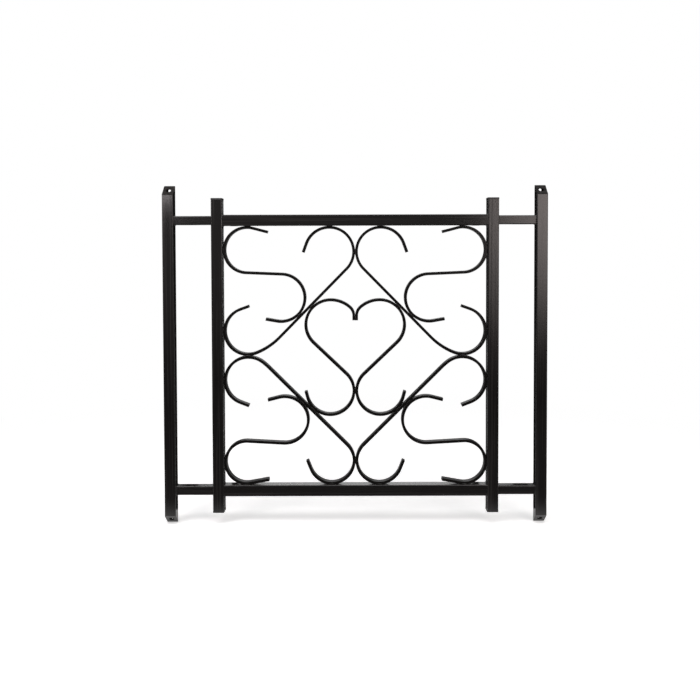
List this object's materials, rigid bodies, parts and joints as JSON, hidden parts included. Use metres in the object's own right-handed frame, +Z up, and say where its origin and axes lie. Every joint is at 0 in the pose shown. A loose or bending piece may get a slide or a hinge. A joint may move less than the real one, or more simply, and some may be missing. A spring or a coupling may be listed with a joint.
{
  "type": "adjustable screen door grille",
  "caption": "Black painted grille for a screen door: a framed panel of flat bar scrolls with a heart, between side posts that slide in and out on square rails to suit the door's width.",
  "frame": {"origin": "middle of the four fixing screws, on the plane where the outer posts bear on the door", "axes": "+X to the right across the door as seen from the front, +Y through the grille into the door, +Z up"},
  "size_m": [0.6854, 0.0206, 0.6096],
  "materials": {
    "tube_paint": "satin black paint on square steel tube",
    "slide_paint": "satin black paint, rubbed by sliding",
    "bar_paint": "satin black paint on flat steel bar, bent on edge to the front",
    "cap_plastic": "black moulded plastic"
  },
  "bodies": {
    "centre_panel": {"left_inner_post": "tube_paint", "right_inner_post": "tube_paint", "top_rail": "tube_paint", "bottom_rail": "tube_paint", "left_top_corner_scroll": "bar_paint", "left_top_diagonal_scroll": "bar_paint", "left_heart_half": "bar_paint", "left_bottom_diagonal_scroll": "bar_paint", "left_bottom_corner_scroll": "bar_paint", "right_top_corner_scroll": "bar_paint", "right_top_diagonal_scroll": "bar_paint", "right_heart_half": "bar_paint", "right_bottom_diagonal_scroll": "bar_paint", "right_bottom_corner_scroll": "bar_paint", "left_top_cap": "cap_plastic", "left_bottom_cap": "cap_plastic", "right_top_cap": "cap_plastic", "right_bottom_cap": "cap_plastic"},
    "left_side": {"left_outer_post": "tube_paint", "left_top_slide": "slide_paint", "left_bottom_slide": "slide_paint"},
    "right_side": {"right_outer_post": "tube_paint", "right_top_slide": "slide_paint", "right_bottom_slide": "slide_paint"}
  },
  "joints": [
    {"name": "left_side_slide", "type": "slide", "parent": "centre_panel", "child": "left_side", "axis": [-1, 0, 0], "range_m": [-0.064, 0.085]},
    {"name": "right_side_slide", "type": "slide", "parent": "centre_panel", "child": "right_side", "axis": [1, 0, 0], "range_m": [-0.064, 0.085]}
  ]
}
